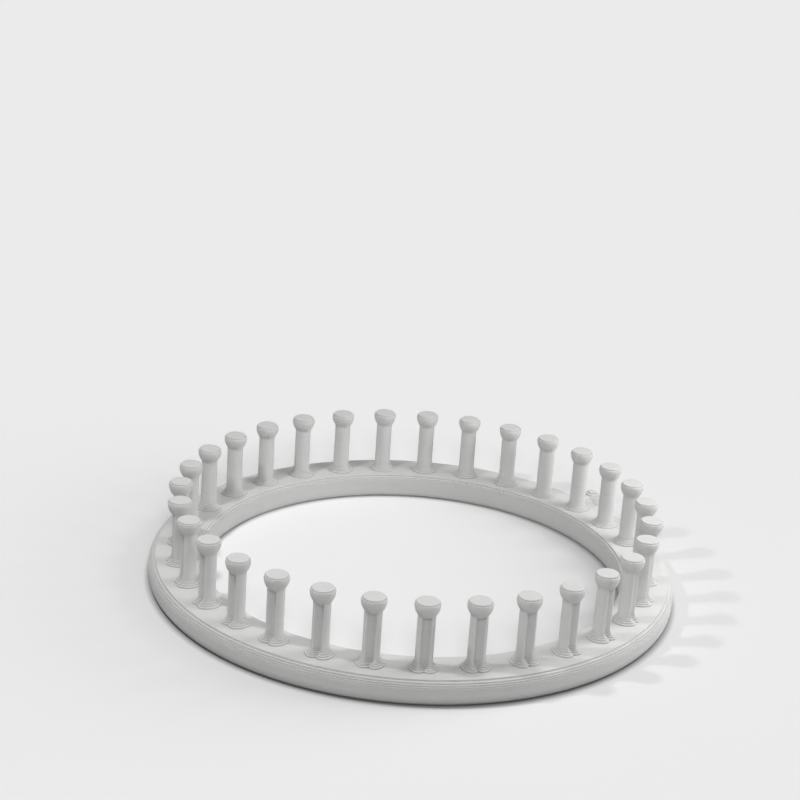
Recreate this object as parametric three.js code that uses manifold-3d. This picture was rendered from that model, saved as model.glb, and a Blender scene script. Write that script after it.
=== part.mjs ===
// Round knitting loom: a flat ring with upright grooved pegs pressed into it,
// and one anchor peg that points outwards and holds the tail of the yarn.
//
// Millimetres, +Z up. The origin is the centre of the ring's underside.
// The first upright peg stands on -Y, and the others follow anticlockwise seen from above.

import * as THREE from "three";
import { mergeVertices } from "three/addons/utils/BufferGeometryUtils.js";
import Module from "manifold-3d";

const wasm = await Module();
wasm.setup();

// Driving dimensions

const pegCount = 31;
const pegCircleRadius = 92;

const ringInnerMargin = 9.5; // from the peg circle to the inner wall
const ringOuterMargin = 11.2; // from the peg circle to the outer wall
const ringHeight = 9.5;
const outerTopRounding = 3.6;
const innerTopRounding = 2.4;
const outerBottomRounding = 2.4;
const innerBottomRounding = 0.6;

const pegHeight = 26; // above the ring's top face
const shaftRadius = 3.25;
const footFlare = 2.05; // how far the foot spreads past the shaft
const footHeight = 2.5;
const footEdge = 0.3; // upright edge of the foot, where it sits on the ring

const headOverhang = 1.42; // how far the head's rim spreads past the shaft
const headLength = 5; // from the head's flat end down to the shaft
const rimDrop = 1.3; // from the flat end to the widest line
const rimDraw = 0.72; // how far the flat end's edge is drawn in from the rim
const underRimDrop = 2.95; // from the flat end to the top of the cone under the rim
const underRimDraw = 0.2; // how far the cone's top is drawn in from the rim

const grooveWidth = 2.9;
const grooveDepth = 1.75;

const spigotRadius = 2;
const spigotFlat = 0.5; // cut off the spigot's inner side, so that the groove faces outwards
const socketFloor = 3; // ring left under each upright socket
const fitClearance = 0.3;

const anchorPlace = 0.4; // share of the pitch, from the peg that the anchor peg stands beside
const anchorNeighbour = 12; // number of that peg
const anchorReach = 9.7; // from the ring's outer wall to the head's flat end
const anchorSpigotLength = 7;
const tableGap = 0.43; // under the anchor peg's head

// Facets

const ringFacetsPerPeg = 4;
const pegSegments = 14;
const spigotArcSteps = 4;
const grooveSegments = 12;
const outerArcSteps = 3;
const innerArcSteps = 2;
const outerBottomArcSteps = 2;
const innerBottomArcSteps = 1;

// Worked-out sizes

const ringInnerRadius = pegCircleRadius - ringInnerMargin;
const ringOuterRadius = pegCircleRadius + ringOuterMargin;
const headRadius = shaftRadius + headOverhang;
const footRadius = shaftRadius + footFlare;
const pitchAngle = (2 * Math.PI) / pegCount;
const ringSegments = ringFacetsPerPeg * pegCount;
const anchorHeight = headRadius + tableGap;
const cutMargin = 1; // how far a cutting tool runs past the face that it opens
const roundingShare = 0.48; // the most of a wall that one rounding may take

// Helpers for joining and cutting

function toSolid(geometry) {
  const bare = geometry.clone();
  bare.deleteAttribute("normal");
  bare.deleteAttribute("uv");
  const merged = mergeVertices(bare);
  const corners = merged.index.array;
  const triangles = [];
  for (let i = 0; i < corners.length; i += 3) {
    const [a, b, c] = [corners[i], corners[i + 1], corners[i + 2]];
    const isFlat = a === b || b === c || c === a;
    if (!isFlat) {
      triangles.push(a, b, c);
    }
  }
  const mesh = new wasm.Mesh({
    numProp: 3,
    vertProperties: merged.attributes.position.array,
    triVerts: Uint32Array.from(triangles),
  });
  return new wasm.Manifold(mesh);
}

function toGeometry(solid) {
  const mesh = solid.getMesh();
  const geometry = new THREE.BufferGeometry();
  geometry.setAttribute("position", new THREE.BufferAttribute(mesh.vertProperties, 3));
  geometry.setIndex(new THREE.BufferAttribute(mesh.triVerts, 1));
  geometry.computeVertexNormals();
  return geometry;
}

// A profile of [radius, height] pairs turned about the Z axis
function turned(profile, segments) {
  const points = profile.map(([radius, height]) => new THREE.Vector2(radius, height));
  return new THREE.LatheGeometry(points, segments).rotateX(Math.PI / 2);
}

// An upright rod about the Z axis
function rod(radius, bottom, top, segments) {
  const geometry = new THREE.CylinderGeometry(radius, radius, top - bottom, segments);
  return geometry.rotateX(Math.PI / 2).translate(0, 0, (bottom + top) / 2);
}

// Points of a quarter round from one angle to another, both ends included
function arc(centreRadius, centreHeight, rounding, fromAngle, toAngle, steps) {
  const points = [];
  for (let step = 0; step <= steps; step += 1) {
    const angle = fromAngle + ((toAngle - fromAngle) * step) / steps;
    points.push([centreRadius + rounding * Math.cos(angle), centreHeight + rounding * Math.sin(angle)]);
  }
  return points;
}

// Ring

// The ring's section, grown outwards by a clearance on every side.
// Its roundings never take more than the walls that they round.
function ringProfile(grow) {
  const inner = ringInnerRadius - grow;
  const outer = ringOuterRadius + grow;
  const bottom = -grow;
  const top = ringHeight + grow;
  const limit = roundingShare * Math.min(top - bottom, outer - inner);
  const outerTop = Math.min(outerTopRounding + grow, limit);
  const innerTop = Math.min(innerTopRounding + grow, limit);
  const outerLow = Math.min(outerBottomRounding + grow, limit);
  const innerLow = Math.min(innerBottomRounding + grow, limit);
  const quarter = Math.PI / 2;
  const profile = [
    ...arc(outer - outerLow, bottom + outerLow, outerLow, -quarter, 0, outerBottomArcSteps),
    ...arc(outer - outerTop, top - outerTop, outerTop, 0, quarter, outerArcSteps),
    ...arc(inner + innerTop, top - innerTop, innerTop, quarter, 2 * quarter, innerArcSteps),
    ...arc(inner + innerLow, bottom + innerLow, innerLow, 2 * quarter, 3 * quarter, innerBottomArcSteps),
  ];
  profile.push(profile[0]);
  return profile;
}

function ringBody(grow) {
  return turned(ringProfile(grow), ringSegments);
}

// A round bar with one flat side, used for an upright peg's spigot and, grown, for its socket
function spigotBar(grow, bottom, top) {
  const radius = spigotRadius + grow;
  const flatDistance = spigotRadius - spigotFlat + grow;
  const endAngle = Math.PI - Math.acos(flatDistance / radius);
  const section = new THREE.Shape();
  section.absarc(0, 0, radius, -endAngle, endAngle, false);
  section.closePath();
  const settings = { depth: top - bottom, bevelEnabled: false, curveSegments: spigotArcSteps };
  return new THREE.ExtrudeGeometry(section, settings).translate(0, 0, bottom);
}

// Angle of an upright peg about the loom's axis, by its number; part numbers lie between two pegs
function pegAngle(number) {
  return -Math.PI / 2 + (number - 1) * pitchAngle;
}

function anchorFrame() {
  const angle = pegAngle(anchorNeighbour + anchorPlace);
  const outwards = new THREE.Vector3(Math.cos(angle), Math.sin(angle), 0);
  const upwards = new THREE.Vector3(0, 0, 1);
  const sideways = new THREE.Vector3().crossVectors(outwards, upwards);
  const frame = new THREE.Matrix4().makeBasis(upwards, sideways, outwards);
  return frame.setPosition(0, 0, anchorHeight);
}

function ringGeometry() {
  let ring = toSolid(ringBody(0));
  for (let number = 1; number <= pegCount; number += 1) {
    const angle = pegAngle(number);
    const socket = spigotBar(fitClearance, socketFloor, ringHeight + cutMargin).rotateZ(angle);
    socket.translate(pegCircleRadius * Math.cos(angle), pegCircleRadius * Math.sin(angle), 0);
    ring = ring.subtract(toSolid(socket));
  }
  const socketEnd = ringOuterRadius - anchorSpigotLength - fitClearance;
  const anchorSocket = rod(spigotRadius + fitClearance, socketEnd, ringOuterRadius + cutMargin, pegSegments);
  return toGeometry(ring.subtract(toSolid(anchorSocket.applyMatrix4(anchorFrame()))));
}

// Pegs

// The mushroom head's half outline, from the shaft to the flat end
function headProfile(tip) {
  return [
    [shaftRadius, tip - headLength],
    [headRadius - underRimDraw, tip - underRimDrop],
    [headRadius, tip - rimDrop],
    [headRadius - rimDraw, tip],
    [0, tip],
  ];
}

// The foot's half outline: an upright edge, then a hollow quarter curve up to the shaft
function footProfile(seat) {
  const curveStart = seat + footEdge;
  const curveHeight = footHeight - footEdge;
  const halfway = Math.PI / 4;
  return [
    [0, seat],
    [footRadius, seat],
    [footRadius, curveStart],
    [footRadius - footFlare * Math.sin(halfway), curveStart + curveHeight * (1 - Math.cos(halfway))],
    [shaftRadius, seat + footHeight],
  ];
}

// A round bar that cuts the groove: as wide as the groove at the shaft's surface, and as deep
function grooveCutter(bottom, top) {
  const lipDistance = Math.sqrt(shaftRadius ** 2 - (grooveWidth / 2) ** 2);
  const floorDistance = shaftRadius - grooveDepth;
  const sag = lipDistance - floorDistance;
  const radius = ((grooveWidth / 2) ** 2 + sag ** 2) / (2 * sag);
  return rod(radius, bottom, top, grooveSegments).translate(floorDistance + radius, 0, 0);
}

function uprightPegGeometry() {
  const seat = ringHeight;
  const tip = seat + pegHeight;
  const body = toSolid(turned([...footProfile(seat), ...headProfile(tip)], pegSegments));
  const groove = toSolid(grooveCutter(seat + footEdge, tip - headLength));
  const spigotEnd = socketFloor + fitClearance;
  const spigot = toSolid(spigotBar(0, spigotEnd, seat + footEdge));
  return toGeometry(body.subtract(groove).add(spigot));
}

// Built along its own Z axis, which is counted from the loom's axis.
// Its root is shaped to the ring's wall, with the fit's clearance.
function anchorPegGeometry() {
  const tip = ringOuterRadius + anchorReach;
  const root = ringOuterRadius - outerTopRounding;
  const body = toSolid(turned([[0, root], [shaftRadius, root], ...headProfile(tip)], pegSegments));
  const ringWall = toSolid(ringBody(fitClearance).applyMatrix4(anchorFrame().invert()));
  const spigotEnd = ringOuterRadius - anchorSpigotLength;
  const spigot = toSolid(rod(spigotRadius, spigotEnd, ringOuterRadius + cutMargin, pegSegments));
  return toGeometry(body.subtract(ringWall).add(spigot));
}

// Assembly

function plastic() {
  return new THREE.MeshStandardMaterial({ color: 0xd6d6d5, roughness: 0.55, metalness: 0 });
}

const loom = new THREE.Group();

const ring = new THREE.Mesh(ringGeometry(), plastic());
ring.name = "ring";
loom.add(ring);

const pegShape = uprightPegGeometry();
for (let number = 1; number <= pegCount; number += 1) {
  const peg = new THREE.Mesh(pegShape, plastic());
  const angle = pegAngle(number);
  peg.name = `peg_${String(number).padStart(2, "0")}`;
  peg.position.set(pegCircleRadius * Math.cos(angle), pegCircleRadius * Math.sin(angle), 0);
  peg.rotation.z = angle;
  loom.add(peg);
}

const anchorPeg = new THREE.Mesh(anchorPegGeometry(), plastic());
anchorPeg.name = "anchor_peg";
anchorPeg.applyMatrix4(anchorFrame());
loom.add(anchorPeg);

export default loom;
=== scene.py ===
"""Looks of a round knitting loom that was 3-D printed in light grey plastic.

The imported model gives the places: the ring's walls, where each peg stands and where the anchor
peg points. The pieces made here stand for those plain solids. Each one is sliced in layers as a
printer slices it, so the layers, the stepped feet and the stepped heads are real geometry.
"""

import math

import bmesh
import bpy
import numpy as np
from mathutils import Matrix


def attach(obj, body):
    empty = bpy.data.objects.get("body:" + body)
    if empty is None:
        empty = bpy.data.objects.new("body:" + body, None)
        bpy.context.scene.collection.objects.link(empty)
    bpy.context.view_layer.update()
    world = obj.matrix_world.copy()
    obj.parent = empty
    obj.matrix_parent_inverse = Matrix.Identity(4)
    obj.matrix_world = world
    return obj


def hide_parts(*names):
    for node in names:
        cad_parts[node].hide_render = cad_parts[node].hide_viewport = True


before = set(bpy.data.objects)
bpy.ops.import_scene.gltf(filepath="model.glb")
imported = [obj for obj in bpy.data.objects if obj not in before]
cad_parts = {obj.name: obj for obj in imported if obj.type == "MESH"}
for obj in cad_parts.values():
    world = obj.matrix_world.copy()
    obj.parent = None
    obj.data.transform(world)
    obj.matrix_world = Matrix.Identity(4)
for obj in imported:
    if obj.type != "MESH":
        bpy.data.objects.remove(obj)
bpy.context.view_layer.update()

bl_info = {
    "name": "Round Knitting Loom",
    "version": (1, 0, 0),
    "blender": (4, 5, 0),
    "location": "3D Viewport > Sidebar > Loom",
    "description": "Builds a printed round knitting loom and the pale studio around it",
    "category": "Add Mesh",
}

MM = 0.001
SAME = 1e-8  # metres; rows closer than this are one row
APART = 0.01 * MM  # lift that keeps the anchor peg's steps off the ring's, which are level with them
END_TOLERANCE = 0.1 * MM  # corners this close to the furthest one lie on a peg's flat end
FLOOR_REACH = 6.0  # metres from the loom's middle, so that the floor's edge is out of sight
FLOOR_DROP = 0.05 * MM  # keeps the floor and the ring's underside apart
UP = np.array([0.0, 0.0, 1.0])

# How a layer is drawn: rows at these shares of its height, the outline that the slicer takes
# at one share, and how sharply the bead turns in at its two edges.
BEAD_SHARES = (0.0, 0.15, 0.5, 0.85, 1.0)
SLICE_SHARE = 0.7
BEAD_POWER = 4

CORE_SAMPLES = 2880  # points of the core's outline on which the foot's discs are set

# The anchor peg's layers: how deep its shaft stands in the ring's wall, the share of the head's
# radius within which a layer is wide enough to print, the share of it that the sampled outline
# surely reaches, and the steps along the shaft, along the head, across the end and in the search.
ANCHOR_ROOT = 3.0 * MM
WIDE_ENOUGH = 0.995
SURELY_REACHED = 0.9999
SHAFT_STEPS = 4
HEAD_STEPS = 28
END_STEPS = 8
SEARCH_STEPS = 2000

LAMPS = ("key", "side", "front")
OPEN_FLOOR = 5 / 6  # what an open floor gets of a sky that fades with (1 + height) / 2


# Colour

def linear(hex_colour):
    """Linear RGBA of an sRGB hex value such as "D6D6D5"."""
    channels = [int(hex_colour[start:start + 2], 16) / 255 for start in (0, 2, 4)]
    straight = [c / 12.92 if c <= 0.04045 else ((c + 0.055) / 1.055) ** 2.4 for c in channels]
    return (*straight, 1.0)


# Properties

def length(name, description, millimetres):
    """A size that a user can change, kept in metres."""
    return bpy.props.FloatProperty(
        name=name,
        description=description,
        default=millimetres * MM,
        min=0.0,
        precision=5,
        subtype="DISTANCE",
        unit="LENGTH",
    )


def angle(name, description, degrees):
    """An angle that a user can change, kept in radians."""
    return bpy.props.FloatProperty(
        name=name,
        description=description,
        default=math.radians(degrees),
        subtype="ANGLE",
        unit="ROTATION",
    )


def count(name, description, default):
    """A whole number that a user can change."""
    return bpy.props.IntProperty(name=name, description=description, default=default, min=3)


def amount(name, description, default):
    """A plain number that a user can change."""
    return bpy.props.FloatProperty(name=name, description=description, default=default, min=0.0)


def colour(name, description, hex_colour):
    """A colour that a user can change."""
    return bpy.props.FloatVectorProperty(
        name=name,
        description=description,
        default=linear(hex_colour),
        min=0.0,
        max=1.0,
        size=4,
        subtype="COLOR",
    )


def place(name, description, millimetres):
    """A point that a user can change, kept in metres."""
    return bpy.props.FloatVectorProperty(
        name=name,
        description=description,
        default=[value * MM for value in millimetres],
        size=3,
        subtype="TRANSLATION",
        unit="LENGTH",
    )


class LoomRing(bpy.types.PropertyGroup):
    """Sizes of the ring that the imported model's walls don't give."""

    layers: count("Layers", "Printed layers from the table up to the ring's top face", 15)
    columns: count("Columns per peg", "Steps round the ring from one peg to the next", 16)
    outer_top: length("Outer top rounding", "Rounding of the outer wall's top edge", 3.6)
    inner_top: length("Inner top rounding", "Rounding of the inner wall's top edge", 2.4)
    outer_bottom: length("Outer bottom rounding", "Rounding of the outer wall's bottom edge", 3.5)
    inner_bottom: length("Inner bottom rounding", "Rounding of the inner wall's bottom edge", 1.6)


class LoomPeg(bpy.types.PropertyGroup):
    """Sizes of a peg: shaft, groove, foot and mushroom head."""

    layers: count("Layers", "Printed layers from the ring's top face to the peg's tip", 44)
    body_columns: count("Body columns", "Steps round the shaft outside the groove", 48)
    groove_columns: count("Groove columns", "Steps across the groove and its lips", 28)
    shaft_radius: length("Shaft radius", "Radius of the shaft", 3.25)
    groove_width: length("Groove width", "Width of the groove at the shaft's surface", 2.9)
    groove_depth: length("Groove depth", "Depth of the groove below the shaft's surface", 2.0)
    lip_rounding: length("Lip rounding", "Rounding of the groove's two lips", 0.3)
    foot_spread: length("Foot spread", "How far the foot's lowest layer reaches past the shaft", 2.05)
    foot_height: length("Foot height", "Height at which the foot has become the shaft", 3.0)
    foot_power: amount("Foot curve", "How fast the foot draws in with height", 2.2)
    tip_radius: length("Tip radius", "Radius of the head's flat end", 3.87)
    head_radius: length("Head radius", "Radius of the head at its widest line", 4.67)
    rim_drop: length("Rim drop", "From the flat end to the widest line", 1.2)
    head_length: length("Head length", "From the flat end to the shaft", 5.0)
    vault_slope: amount("Vault slope", "How fast the groove's top draws in, in depth per height", 1.3)


class LoomFinish(bpy.types.PropertyGroup):
    """The plastic and how it was laid down."""

    plastic: colour("Plastic", "Colour of the filament", "D6D6D5")
    bead_depth: length("Bead depth", "How far the joint between two layers lies behind them", 0.03)
    crease: angle("Crease", "Edges sharper than this stay sharp", 38.0)
    glow: amount("Glow", "Share of the light that wanders inside the plastic", 0.45)
    depth: length("Light depth", "How far light wanders inside the plastic", 1.5)
    # Hollow reach and hollow power set painted shade: ambient occlusion that darkens the plastic's colour in
    # its hollows.
    hollow: length("Hollow reach", "How far off a wall still darkens a hollow", 4.0)
    hollow_power: amount("Hollow power", "How dark the hollows are", 0.2)
    darkest: amount("Darkest layer", "Tone of the darkest layers, as a share of the plastic's", 0.965)
    lightest: amount("Lightest layer", "Tone of the lightest layers, as a share of the plastic's", 1.03)
    layer_share: amount("Layer share", "How much each layer's own chance counts in its tone", 0.35)
    clouding: length("Clouding", "Size of the soft clouds in the tone", 9.0)
    strand: length("Strand", "Size of the grain that the nozzle leaves", 0.45)
    grain_depth: length("Grain depth", "Depth of that grain", 0.02)
    grain: amount("Grain", "Strength of that grain in the shading", 0.35)
    smoothest: amount("Smoothest", "Roughness where the plastic is smoothest", 0.48)
    roughest: amount("Roughest", "Roughness where the plastic is roughest", 0.62)
    index: amount("Index", "Refractive index of the plastic", 1.46)


class LoomStage(bpy.types.PropertyGroup):
    """Camera, lamps, world and floor."""

    azimuth: angle("Camera azimuth", "Direction of the camera about the loom, from -Y", -4.208)
    elevation: angle("Camera elevation", "Height of the camera as an angle at the loom", 25.405)
    distance: length("Camera distance", "From the middle of the ring's underside", 758.04)
    pan: angle("Camera pan", "Turn to the left, away from the loom's middle", 0.697)
    tilt: angle("Camera tilt", "Turn upwards, away from the loom's middle", 5.316)
    roll: angle("Camera roll", "Turn about the line of sight", 4.187)
    lens: amount("Lens", "Focal length in millimetres on a 36 mm sensor", 85.475)
    backdrop: colour("Backdrop", "Colour that the floor and the background show", "EBEBEB")
    floor_bounce: amount("Floor bounce", "Share of the light that the floor gives back", 0.42)
    # Contact reach, power and least set painted shade: a dark line painted into the floor's colour round the
    # ring's foot.
    contact_reach: length("Contact reach", "How far the dark line round the ring's foot reaches", 3.0)
    contact_power: amount("Contact power", "How steeply that line darkens inwards", 1.1)
    contact_least: amount("Contact least", "Share of the floor's tone left where that line is darkest", 0.16)
    sky: amount("Sky", "Strength of the soft light from overhead, fading to none from below", 0.34)
    key_lamp: place("Key lamp", "Middle of the wide lamp on the right", (265.3, -1.0, 178.9))
    key_power: amount("Key power", "Power of the key lamp in watts", 2.35)
    key_radius: length("Key radius", "Radius of the key lamp", 110.0)
    side_lamp: place("Side lamp", "Middle of the small lamp on the left", (-172.1, -79.4, 291.9))
    side_power: amount("Side power", "Power of the side lamp in watts", 1.2)
    side_radius: length("Side radius", "Radius of the side lamp", 12.0)
    front_lamp: place("Front lamp", "Middle of the far lamp beside the camera", (-25.0, -646.7, 470.2))
    front_power: amount("Front power", "Power of the front lamp in watts", 5.9)
    front_radius: length("Front radius", "Radius of the front lamp", 96.0)


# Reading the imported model

def node_points(node):
    """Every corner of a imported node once, in metres, one row each."""
    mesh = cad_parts[node].data
    values = np.empty(3 * len(mesh.vertices), np.float32)
    mesh.vertices.foreach_get("co", values)
    return np.unique(np.round(values.reshape(-1, 3).astype(float), 7), axis=0)


def flat_end(node, direction):
    """Middle of a peg's flat end: the mean of the corners that reach furthest that way."""
    points = node_points(node)
    reach = points @ direction
    return points[reach > reach.max() - END_TOLERANCE].mean(axis=0)


def ring_walls():
    """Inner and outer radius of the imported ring, and its height."""
    points = node_points("ring")
    radii = np.hypot(points[:, 0], points[:, 1])
    return radii.min(), radii.max(), points[:, 2].max()


# Printed layers

def sliced(bottom, pitch, layers, bead_depth):
    """The rows of a printed wall, from bottom to top, as four arrays.

    A layer keeps one outline over its whole height: the one at the share of it that the slicer
    takes. Its face is a bead, which turns in by bead depth times |2 share - 1| to the power 4.
    Returned are each row's height, its outline's height, its layer's bottom and its inset.
    """
    layer_bottom = bottom + pitch * np.arange(layers)[:, None]
    share = np.array(BEAD_SHARES)[None, :]
    rows = layer_bottom + pitch * share
    outline_height = layer_bottom + SLICE_SHARE * pitch + 0 * share
    inset = bead_depth * np.abs(2 * share - 1) ** BEAD_POWER + 0 * layer_bottom
    return rows.ravel(), outline_height.ravel(), (layer_bottom + 0 * share).ravel(), inset.ravel()


def grid_quads(rows, columns, rows_close):
    """Corner numbers of a grid's quads. Columns close round; rows do so where asked."""
    low = np.arange(rows * columns).reshape(rows, columns)
    high = np.roll(low, -1, axis=0)
    if not rows_close:
        low, high = low[:-1], high[:-1]
    quads = [low, np.roll(low, -1, axis=1), np.roll(high, -1, axis=1), high]
    return np.stack(quads, axis=-1).reshape(-1, 4)


def capped(grid):
    """Corners and faces of a grid of rows that rise and close round, with a fan at each end."""
    rows, columns = grid.shape[:2]
    bottom, top = grid[0].mean(axis=0), grid[-1].mean(axis=0)
    corners = np.concatenate([grid.reshape(-1, 3), bottom[None], top[None]])
    first = np.arange(columns)
    last = first + (rows - 1) * columns
    bottom_fan = np.stack([np.full(columns, rows * columns), np.roll(first, -1), first], axis=-1)
    top_fan = np.stack([np.full(columns, rows * columns + 1), last, np.roll(last, -1)], axis=-1)
    return corners, [grid_quads(rows, columns, False), bottom_fan, top_fan]


def make_piece(name, corners, faces, material, crease):
    """A mesh object at the origin, smooth but for its creases."""
    sizes = np.concatenate([np.full(len(group), group.shape[1]) for group in faces])
    numbers = np.concatenate([group.ravel() for group in faces])
    mesh = bpy.data.meshes.new(name)
    mesh.vertices.add(len(corners))
    mesh.vertices.foreach_set("co", np.asarray(corners, np.float32).ravel())
    mesh.loops.add(len(numbers))
    mesh.loops.foreach_set("vertex_index", numbers.astype(np.int32))
    mesh.polygons.add(len(sizes))
    mesh.polygons.foreach_set("loop_start", (np.cumsum(sizes) - sizes).astype(np.int32))
    mesh.update(calc_edges=True)
    mesh.validate()
    finish_mesh(mesh, material, crease)
    piece = bpy.data.objects.new(name, mesh)
    bpy.context.scene.collection.objects.link(piece)
    return piece


def finish_mesh(mesh, material, crease):
    """Smooth shading between creases, and the material."""
    mesh.shade_smooth()
    mesh.set_sharp_from_angle(angle=crease)
    if not mesh.materials:
        mesh.materials.append(material)


def merge_corners(mesh):
    """Joins corners that lie on one point, and drops the faces that this leaves without area."""
    work = bmesh.new()
    work.from_mesh(mesh)
    bmesh.ops.remove_doubles(work, verts=work.verts, dist=10 * SAME)
    bmesh.ops.dissolve_degenerate(work, edges=work.edges, dist=10 * SAME)
    work.to_mesh(mesh)
    work.free()


def settle(piece, node):
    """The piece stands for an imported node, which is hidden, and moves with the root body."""
    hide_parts(node)
    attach(piece, "root")


# Ring

def wall_draw(height, top, top_rounding, bottom_rounding):
    """How far a wall is drawn in at a height: a quarter round at its top and one at its bottom."""
    above = np.clip(height - (top - top_rounding), 0, top_rounding)
    below = np.clip(bottom_rounding - height, 0, bottom_rounding)
    top_draw = top_rounding - np.sqrt(top_rounding ** 2 - above ** 2)
    bottom_draw = bottom_rounding - np.sqrt(bottom_rounding ** 2 - below ** 2)
    return top_draw + bottom_draw


def ring_surface(sizes, bead_depth):
    """The ring: its section, sliced in layers, carried round the loom's axis.

    The section is a closed line: up the outer wall, across the top, down the inner wall and
    back across the underside. A wall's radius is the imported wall's, drawn in by its roundings
    and by the bead's inset. Each point is turned through the angle of its column.
    """
    inner, outer, top = ring_walls()
    rows, outline, _, inset = sliced(0.0, top / sizes.layers, sizes.layers, bead_depth)
    outside = outer - inset - wall_draw(outline, top, sizes.outer_top, sizes.outer_bottom)
    inside = inner + inset + wall_draw(outline, top, sizes.inner_top, sizes.inner_bottom)
    radius = np.concatenate([outside, inside[::-1]])
    height = np.concatenate([rows, rows[::-1]])
    moved = np.hypot(radius - np.roll(radius, 1), height - np.roll(height, 1)) > SAME
    radius, height = radius[moved][:, None], height[moved][:, None]
    columns = sizes.columns * len(peg_nodes())
    turn = np.linspace(0, 2 * np.pi, columns, endpoint=False)[None, :]
    grid = np.stack(np.broadcast_arrays(radius * np.cos(turn), radius * np.sin(turn), height), axis=-1)
    return grid.reshape(-1, 3), [grid_quads(len(radius), columns, True)]


# Pegs

def peg_nodes():
    """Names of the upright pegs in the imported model."""
    return sorted(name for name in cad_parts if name.startswith("peg_"))


def groove_bar(sizes):
    """The bar that cuts the groove: its radius, and how far its axis lies from the peg's.

    It passes through the groove's two lips and its floor, so its radius is
    (half width squared + sag squared) / (2 sag), with the sag from the lips' chord to the floor.
    """
    half = sizes.groove_width / 2
    floor = sizes.shaft_radius - sizes.groove_depth
    sag = math.sqrt(sizes.shaft_radius ** 2 - half ** 2) - floor
    radius = (half ** 2 + sag ** 2) / (2 * sag)
    return radius, floor + radius


def core(turn, sizes):
    """Radius of the grooved shaft's core at an angle from the groove's middle.

    The core is the grooved shaft, thinner by the lips' rounding on every side. Where a ray from
    the axis meets the groove's bar, it stops at the bar's near side, at
    c cos(turn) - sqrt(g^2 - c^2 sin(turn)^2), with the bar's radius g and distance c.
    """
    bar, distance = groove_bar(sizes)
    under_root = (bar + sizes.lip_rounding) ** 2 - (distance * np.sin(turn)) ** 2
    near_side = distance * np.cos(turn) - np.sqrt(np.maximum(under_root, 0))
    meets = (under_root > 0) & (np.cos(turn) > 0)
    body = sizes.shaft_radius - sizes.lip_rounding
    return np.where(meets, np.minimum(near_side, body), body)


def shaft_outline(turn, spread, sizes):
    """Radius of the grooved shaft grown outwards by a spread, as the foot's contours are.

    The outline is the edge of discs set on every point P of the core's outline, with a radius s
    of the spread and the lips' rounding together, so the lips come out round. Along a direction
    u the disc at P reaches P.u + sqrt(s^2 - (P x u)^2).
    """
    samples = np.linspace(0, 2 * np.pi, CORE_SAMPLES, endpoint=False)
    radius = core(samples, sizes)
    x, y = radius * np.cos(samples), radius * np.sin(samples)
    ux, uy = np.cos(turn)[:, None], np.sin(turn)[:, None]
    disc = (spread + sizes.lip_rounding)[:, None, None]
    under_root = disc ** 2 - (x * uy - y * ux) ** 2
    reach = np.where(under_root >= 0, x * ux + y * uy + np.sqrt(np.maximum(under_root, 0)), 0)
    return reach.max(axis=-1)


def head_radius(drop, sizes):
    """Radius of the head at a drop below its flat end, and of what closes the groove below it.

    From the flat end to the rim it swells by a quarter sine. From the rim to the shaft it draws
    in by a square. Below the shaft it goes on inwards as a cone, which vaults the groove's top.
    """
    swell = np.sin(np.pi / 2 * np.clip(drop / sizes.rim_drop, 0, 1))
    rim = sizes.tip_radius + (sizes.head_radius - sizes.tip_radius) * swell
    past_rim = np.clip((drop - sizes.rim_drop) / (sizes.head_length - sizes.rim_drop), 0, 1)
    head = rim - (sizes.head_radius - sizes.shaft_radius) * past_rim ** 2
    vault = sizes.shaft_radius - sizes.vault_slope * (drop - sizes.head_length)
    return np.where(drop < sizes.head_length, head, vault)


def peg_turns(sizes):
    """The columns' angles from the groove's middle, closer together towards the groove's lips.

    A lip starts where the core's round body meets the groove's bar, at the angle whose cosine is
    (b^2 + c^2 - g^2) / (2 b c), with the core's radius b, the bar's radius g and distance c.
    """
    bar, distance = groove_bar(sizes)
    bar, body = bar + sizes.lip_rounding, sizes.shaft_radius - sizes.lip_rounding
    lip = math.acos((body ** 2 + distance ** 2 - bar ** 2) / (2 * body * distance))
    across = lip * np.sin(np.linspace(-np.pi / 2, np.pi / 2, sizes.groove_columns, endpoint=False))
    round_body = np.linspace(lip, 2 * math.pi - lip, sizes.body_columns, endpoint=False)
    return np.concatenate([across, round_body])


def peg_surface(sizes, height, bead_depth):
    """One peg about its own axis, on z = 0, with its groove towards +X.

    Each layer's outline is the larger of two: the grooved shaft, which in the foot is grown by
    spread (1 - height / foot height) to a power, and the head, which closes the groove's top.
    """
    turn = peg_turns(sizes)
    pitch = height / sizes.layers
    rows, outline, layer_bottom, inset = sliced(0.0, pitch, sizes.layers, bead_depth)
    spread = sizes.foot_spread * np.clip(1 - layer_bottom / sizes.foot_height, 0, 1) ** sizes.foot_power
    levels, which = np.unique(spread, return_inverse=True)
    radius = shaft_outline(turn, levels, sizes)[which]
    radius = np.maximum(radius, head_radius(height - outline, sizes)[:, None]) - inset[:, None]
    moved = np.abs(np.diff(radius, axis=0)).max(axis=1) + np.diff(rows) > SAME
    keep = np.concatenate([[True], moved])
    radius, rows = radius[keep], rows[keep, None]
    grid = np.stack(np.broadcast_arrays(radius * np.cos(turn), radius * np.sin(turn), rows), axis=-1)
    return capped(grid)


# Anchor peg

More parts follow.
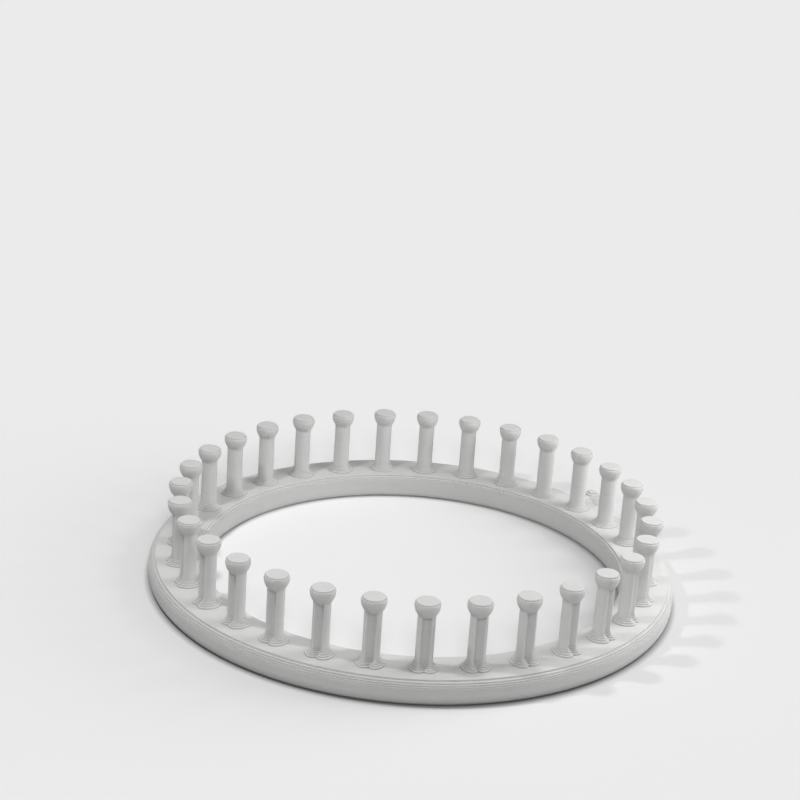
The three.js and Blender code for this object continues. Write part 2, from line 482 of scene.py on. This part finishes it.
def anchor_outline(level, inset, root, tip, sizes):
    """One layer's outline on the anchor peg, which lies on its side, as along and across.

    At a level above or below its axis, a body of radius r is 2 sqrt(r^2 - level^2) wide. The
    outline runs out along one side, across the flat end and back along the other. The layers
    that miss the shaft start where the head's cone reaches their level.
    """
    drops = np.linspace(0, sizes.head_length, SEARCH_STEPS, endpoint=False)
    reached = min(abs(level), sizes.head_radius * SURELY_REACHED)
    inside = drops[head_radius(drops, sizes) >= reached]
    misses_shaft = abs(level) > sizes.shaft_radius
    neck = tip - (inside[-1] if misses_shaft else sizes.head_length)
    start = neck if misses_shaft else root
    end = tip - inside[0]
    eased = (1 - np.cos(np.linspace(0, np.pi, HEAD_STEPS))) / 2
    shaft = np.linspace(start, neck, SHAFT_STEPS, endpoint=False)
    along = np.concatenate([shaft, neck + (end - neck) * eased])
    radius = np.maximum(head_radius(tip - along, sizes), sizes.shaft_radius)
    half = np.sqrt(np.maximum(radius ** 2 - level ** 2, 0))
    half = np.maximum(half - inset, 0)
    along = np.minimum(along, end - inset)
    across_end = np.linspace(1, -1, END_STEPS + 2)[1:-1] * half[-1]
    out_and_back = np.concatenate([along, np.full(END_STEPS, along[-1]), along[::-1]])
    return out_and_back, np.concatenate([half, across_end, -half[::-1]])


def anchor_surface(sizes, ring_layers, bead_depth):
    """The anchor peg, sliced in the ring's own layers, with its root inside the ring's wall."""
    middle = node_points("anchor_peg").mean(axis=0)
    outwards = np.array([middle[0], middle[1], 0.0]) / math.hypot(middle[0], middle[1])
    sideways = np.cross(UP, outwards)
    tip = flat_end("anchor_peg", outwards)
    _, outer, top = ring_walls()
    root = outer - ANCHOR_ROOT
    pitch = top / ring_layers
    levels = pitch * (np.arange(ring_layers + 2) + SLICE_SHARE) - tip[2]
    printed = np.flatnonzero(np.abs(levels) < sizes.head_radius * WIDE_ENOUGH)
    rows, outline, _, inset = sliced(printed[0] * pitch, pitch, len(printed), bead_depth)
    grid = []
    for row, height, turned_in in zip(rows, outline, inset):
        along, across = anchor_outline(height - tip[2], turned_in, root, tip @ outwards, sizes)
        grid.append(along[:, None] * outwards + across[:, None] * sideways + (row + APART) * UP)
    grid = np.array(grid)[:, ::-1]
    moved = np.abs(np.diff(grid, axis=0)).max(axis=(1, 2)) > SAME
    return capped(grid[np.concatenate([[True], moved])])


# Materials

def add_node(tree, kind, inputs=(), **settings):
    """Adds a shader node, sets its settings, and fills or links its inputs by name or number."""
    made = tree.nodes.new(kind)
    for setting, value in settings.items():
        setattr(made, setting, value)
    for socket, value in dict(inputs).items():
        if isinstance(value, bpy.types.NodeSocket):
            tree.links.new(value, made.inputs[socket])
        else:
            made.inputs[socket].default_value = value
    return made


def new_material(name):
    """An empty node material and its output node."""
    material = bpy.data.materials.new(name)
    material.use_nodes = True
    material.node_tree.nodes.clear()
    return material, add_node(material.node_tree, "ShaderNodeOutputMaterial")


def printed_pla(name, finish, pitch):
    """PLA filament laid down in layers by a printer.

    To the eye it is a matt, evenly coloured plastic with a soft sheen. Each layer is a shade
    lighter or darker than the next, because it cooled a little differently, and its surface has
    the fine unevenness of a strand pressed from a nozzle. Light wanders a millimetre or two inside
    it, which lifts the heads' undersides and softens the edges. The grooves and the steps' inner
    corners get painted shade: ambient occlusion darkens the base colour in them.
    """
    material, output = new_material(name)
    tree = material.node_tree
    spot = add_node(tree, "ShaderNodeTexCoord").outputs["Object"]
    height = add_node(tree, "ShaderNodeSeparateXYZ", {0: spot}).outputs["Z"]
    counted = add_node(tree, "ShaderNodeMath", {0: height, 1: pitch}, operation="DIVIDE")
    layer = add_node(tree, "ShaderNodeMath", {0: counted.outputs[0]}, operation="FLOOR")
    shade = add_node(
        tree, "ShaderNodeTexWhiteNoise", {"W": layer.outputs[0]}, noise_dimensions="1D"
    )
    clouding = add_node(
        tree, "ShaderNodeTexNoise", {"Vector": spot, "Scale": 1 / finish.clouding, "Detail": 3.0}
    )
    grain = add_node(
        tree,
        "ShaderNodeTexNoise",
        {"Vector": spot, "Scale": 1 / finish.strand, "Detail": 2.0, "Roughness": 0.6},
    )
    both = add_node(
        tree,
        "ShaderNodeMath",
        {0: shade.outputs["Value"], 1: finish.layer_share, 2: clouding.outputs[0]},
        operation="MULTIPLY_ADD",
    )
    darker, lighter = (
        [share * channel for channel in finish.plastic[:3]] + [1.0]
        for share in (finish.darkest, finish.lightest)
    )
    tint = add_node(
        tree,
        "ShaderNodeMix",
        {0: both.outputs[0], 6: darker, 7: lighter},
        data_type="RGBA",
    )
    # Painted shade: ambient occlusion darkens the base colour in the grooves and the steps' inner corners.
    hollow = add_node(tree, "ShaderNodeAmbientOcclusion", {"Distance": finish.hollow}, samples=4)
    painted_hollow_shade = add_node(
        tree, "ShaderNodeMath", {0: hollow.outputs["AO"], 1: finish.hollow_power}, operation="POWER"
    )
    toned = add_node(
        tree, "ShaderNodeVectorMath", {0: tint.outputs[2], "Scale": painted_hollow_shade.outputs[0]}, operation="SCALE"
    )
    sheen = add_node(
        tree,
        "ShaderNodeMapRange",
        {"Value": grain.outputs[0], "To Min": finish.smoothest, "To Max": finish.roughest},
    )
    bump = add_node(
        tree,
        "ShaderNodeBump",
        {"Strength": finish.grain, "Distance": finish.grain_depth, "Height": grain.outputs[0]},
    )
    shader = add_node(
        tree,
        "ShaderNodeBsdfPrincipled",
        {
            "Base Color": toned.outputs[0],
            "Roughness": sheen.outputs[0],
            "IOR": finish.index,
            "Subsurface Weight": finish.glow,
            "Subsurface Scale": finish.depth,
            "Subsurface Radius": (1.0, 1.0, 1.0),
            "Normal": bump.outputs[0],
        },
    )
    tree.links.new(shader.outputs[0], output.inputs["Surface"])
    return material


# Stage

def ray_is_seen(tree):
    """1 where a ray comes from the camera, a reflection or through glass, else 0."""
    rays = add_node(tree, "ShaderNodeLightPath").outputs
    total = rays["Is Camera Ray"]
    for kind in ("Is Glossy Ray", "Is Transmission Ray"):
        total = add_node(
            tree, "ShaderNodeMath", {0: total, 1: rays[kind]}, operation="MAXIMUM"
        ).outputs[0]
    return total


def lamp_share(tree, spot, lamp, power, radius):
    """What a round lamp gives an open floor: power / (4 pi^2) x height / (d (d^2 + radius^2)),
    at the distance d."""
    line = add_node(
        tree, "ShaderNodeVectorMath", {0: spot, 1: lamp}, operation="DISTANCE"
    ).outputs["Value"]
    squares = add_node(
        tree, "ShaderNodeMath", {0: line, 1: line, 2: radius ** 2}, operation="MULTIPLY_ADD"
    ).outputs[0]
    spread = add_node(tree, "ShaderNodeMath", {0: squares, 1: line}, operation="MULTIPLY").outputs[0]
    strength = power * lamp[2] / (4 * math.pi ** 2)
    return add_node(tree, "ShaderNodeMath", {0: strength, 1: spread}, operation="DIVIDE").outputs[0]


def floor_material(stage):
    """Painted studio floor.

    To the eye it is one pale tone that only the loom's shadow darkens, most of all in a thin
    line round the ring's foot, which is painted shade: ambient occlusion near the ring darkens the
    colour that the camera sees. That colour is the backdrop's colour divided by the light that an
    open floor gets at each spot, so the lamps' falloff doesn't show. To the light that bounces,
    it is a plain grey. The backdrop is a grey too, so one channel gives its tone.
    """
    material, output = new_material("painted_floor")
    tree = material.node_tree
    spot = add_node(tree, "ShaderNodeTexCoord").outputs["Object"]
    light = stage.sky * OPEN_FLOOR
    for name in LAMPS:
        lamp, power, radius = (getattr(stage, f"{name}_{what}") for what in ("lamp", "power", "radius"))
        share = lamp_share(tree, spot, lamp, power, radius)
        light = add_node(tree, "ShaderNodeMath", {0: light, 1: share}, operation="ADD").outputs[0]
    # Painted shade: ambient occlusion within the contact reach darkens the floor's seen colour in a thin
    # line round the ring's foot, down to contact least of its tone.
    near = add_node(
        tree, "ShaderNodeAmbientOcclusion", {"Distance": stage.contact_reach}, samples=8
    )
    dimmed = add_node(
        tree, "ShaderNodeMath", {0: near.outputs["AO"], 1: stage.contact_power}, operation="POWER"
    ).outputs[0]
    painted_contact_shade = add_node(
        tree, "ShaderNodeMapRange", {"Value": dimmed, "To Min": stage.contact_least}
    ).outputs["Result"]
    tone = add_node(
        tree, "ShaderNodeMath", {0: stage.backdrop[0], 1: painted_contact_shade}, operation="MULTIPLY"
    ).outputs[0]
    even = add_node(tree, "ShaderNodeMath", {0: tone, 1: light}, operation="DIVIDE").outputs[0]
    bounce = [stage.floor_bounce] * 3 + [1.0]
    seen = add_node(tree, "ShaderNodeBsdfDiffuse", {"Color": even})
    unseen = add_node(tree, "ShaderNodeBsdfDiffuse", {"Color": bounce})
    either = add_node(
        tree,
        "ShaderNodeMixShader",
        {0: ray_is_seen(tree), 1: unseen.outputs[0], 2: seen.outputs[0]},
    )
    tree.links.new(either.outputs[0], output.inputs["Surface"])
    return material


def build_world(stage):
    """Soft light, strongest from overhead: sky x (1 + height of the direction) / 2. The camera
    and the reflections see the backdrop's colour instead."""
    world = bpy.data.worlds.new("studio")
    world.use_nodes = True
    tree = world.node_tree
    tree.nodes.clear()
    output = add_node(tree, "ShaderNodeOutputWorld")
    towards = add_node(tree, "ShaderNodeTexCoord").outputs["Generated"]
    rise = add_node(tree, "ShaderNodeSeparateXYZ", {0: towards}).outputs["Z"]
    share = add_node(
        tree, "ShaderNodeMath", {0: rise, 1: 0.5, 2: 0.5}, operation="MULTIPLY_ADD"
    ).outputs[0]
    sky = add_node(tree, "ShaderNodeBackground", {"Color": share, "Strength": stage.sky})
    seen = add_node(tree, "ShaderNodeBackground", {"Color": stage.backdrop, "Strength": 1.0})
    either = add_node(
        tree, "ShaderNodeMixShader", {0: ray_is_seen(tree), 1: sky.outputs[0], 2: seen.outputs[0]}
    )
    tree.links.new(either.outputs[0], output.inputs["Surface"])
    bpy.context.scene.world = world


def build_floor(stage):
    """A flat sheet under the loom, wide enough that its edge is out of sight."""
    side = np.array([-FLOOR_REACH, FLOOR_REACH])
    x, y = np.meshgrid(side, side)
    corners = np.stack([x.ravel(), y.ravel(), np.full(4, -FLOOR_DROP)], axis=-1)
    floor = make_piece(
        "floor", corners, [np.array([[0, 1, 3, 2]])], floor_material(stage), math.pi
    )


def add_lamp(name, stage):
    """A round lamp that the camera doesn't see."""
    data = bpy.data.lights.new(f"{name}_lamp", "POINT")
    data.energy = getattr(stage, f"{name}_power")
    data.shadow_soft_size = getattr(stage, f"{name}_radius")
    lamp = bpy.data.objects.new(f"{name}_lamp", data)
    lamp.location = getattr(stage, f"{name}_lamp")
    lamp.visible_camera = False
    bpy.context.scene.collection.objects.link(lamp)


def build_camera(stage):
    """The camera stands at an azimuth, an elevation and a distance, and looks at the loom's
    middle; from there it is panned, tilted and rolled."""
    level = math.cos(stage.elevation)
    back = (
        math.sin(stage.azimuth) * level,
        -math.cos(stage.azimuth) * level,
        math.sin(stage.elevation),
    )
    data = bpy.data.cameras.new("camera")
    data.lens = stage.lens
    data.sensor_width = 36.0
    data.clip_start = 0.01
    data.clip_end = 50.0
    camera = bpy.data.objects.new("camera", data)
    camera.matrix_world = (
        Matrix.Translation([stage.distance * value for value in back])
        @ Matrix.Rotation(stage.azimuth, 4, "Z")
        @ Matrix.Rotation(math.pi / 2 - stage.elevation, 4, "X")
        @ Matrix.Rotation(stage.pan, 4, "Y")
        @ Matrix.Rotation(stage.tilt, 4, "X")
        @ Matrix.Rotation(stage.roll, 4, "Z")
    )
    bpy.context.scene.collection.objects.link(camera)
    bpy.context.scene.camera = camera


# Operators

class LOOM_OT_build_ring(bpy.types.Operator):
    """Slices the ring's section in layers and carries it round the loom's axis"""

    bl_idname = "loom.build_ring"
    bl_label = "Build Ring"

    def execute(self, context):
        sizes, finish = context.scene.loom_ring, context.scene.loom_finish
        corners, faces = ring_surface(sizes, finish.bead_depth)
        pitch = ring_walls()[2] / sizes.layers
        material = printed_pla("pla_printed_ring", finish, pitch)
        piece = make_piece("printed_ring", corners, faces, material, finish.crease)
        settle(piece, "ring")
        return {"FINISHED"}


class LOOM_OT_build_pegs(bpy.types.Operator):
    """Slices one peg in layers and stands a copy where each packed peg is"""

    bl_idname = "loom.build_pegs"
    bl_label = "Build Pegs"

    def execute(self, context):
        sizes, finish = context.scene.loom_peg, context.scene.loom_finish
        seat = ring_walls()[2]
        tip = flat_end(peg_nodes()[0], UP)[2]
        corners, faces = peg_surface(sizes, tip - seat, finish.bead_depth)
        pitch = (tip - seat) / sizes.layers
        material = printed_pla("pla_printed_pegs", finish, pitch)
        for node in peg_nodes():
            x, y, _ = flat_end(node, UP)
            turn = math.atan2(y, x)
            spin = np.array(Matrix.Rotation(turn, 3, "Z"))
            placed = corners @ spin.T + np.array([x, y, seat])
            piece = make_piece(f"printed_{node}", placed, faces, material, finish.crease)
            settle(piece, node)
        return {"FINISHED"}


class LOOM_OT_build_anchor_peg(bpy.types.Operator):
    """Slices the anchor peg in the ring's layers, lying on its side"""

    bl_idname = "loom.build_anchor_peg"
    bl_label = "Build Anchor Peg"

    def execute(self, context):
        scene = context.scene
        sizes, finish = scene.loom_peg, scene.loom_finish
        corners, faces = anchor_surface(sizes, scene.loom_ring.layers, finish.bead_depth)
        material = bpy.data.materials["pla_printed_pegs"]
        piece = make_piece("printed_anchor_peg", corners, faces, material, finish.crease)
        merge_corners(piece.data)
        finish_mesh(piece.data, material, finish.crease)
        settle(piece, "anchor_peg")
        return {"FINISHED"}


class LOOM_OT_build_stage(bpy.types.Operator):
    """Adds the floor, the sky, the lamps and the camera"""

    bl_idname = "loom.build_stage"
    bl_label = "Build Stage"

    def execute(self, context):
        stage = context.scene.loom_stage
        build_floor(stage)
        build_world(stage)
        for name in LAMPS:
            add_lamp(name, stage)
        build_camera(stage)
        context.scene.view_settings.view_transform = "Standard"
        return {"FINISHED"}


class LOOM_PT_sidebar(bpy.types.Panel):
    """Lists the loom's pieces and the stage"""

    bl_label = "Loom"
    bl_idname = "LOOM_PT_sidebar"
    bl_space_type = "VIEW_3D"
    bl_region_type = "UI"
    bl_category = "Loom"

    def draw(self, context):
        for operator, settings in BUILDERS:
            box = self.layout.box()
            box.operator(operator.bl_idname)
            for group in settings:
                values = getattr(context.scene, group)
                for name in values.__annotations__:
                    box.prop(values, name)


SETTINGS = {
    "loom_ring": LoomRing,
    "loom_peg": LoomPeg,
    "loom_finish": LoomFinish,
    "loom_stage": LoomStage,
}
BUILDERS = (
    (LOOM_OT_build_ring, ("loom_ring", "loom_finish")),
    (LOOM_OT_build_pegs, ("loom_peg",)),
    (LOOM_OT_build_anchor_peg, ()),
    (LOOM_OT_build_stage, ("loom_stage",)),
)


def register():
    """Registers the classes and hangs the settings on the scene."""
    for name, group in SETTINGS.items():
        bpy.utils.register_class(group)
        setattr(bpy.types.Scene, name, bpy.props.PointerProperty(type=group))
    for operator, _ in BUILDERS:
        bpy.utils.register_class(operator)
    bpy.utils.register_class(LOOM_PT_sidebar)


def unregister():
    """Undoes what register did, in the other order."""
    bpy.utils.unregister_class(LOOM_PT_sidebar)
    for operator, _ in reversed(BUILDERS):
        bpy.utils.unregister_class(operator)
    for name, group in reversed(SETTINGS.items()):
        delattr(bpy.types.Scene, name)
        bpy.utils.unregister_class(group)


def main():
    """Builds every piece and the stage."""
    register()
    bpy.ops.loom.build_ring()
    bpy.ops.loom.build_pegs()
    bpy.ops.loom.build_anchor_peg()
    bpy.ops.loom.build_stage()


if __name__ == "__main__":
    main()
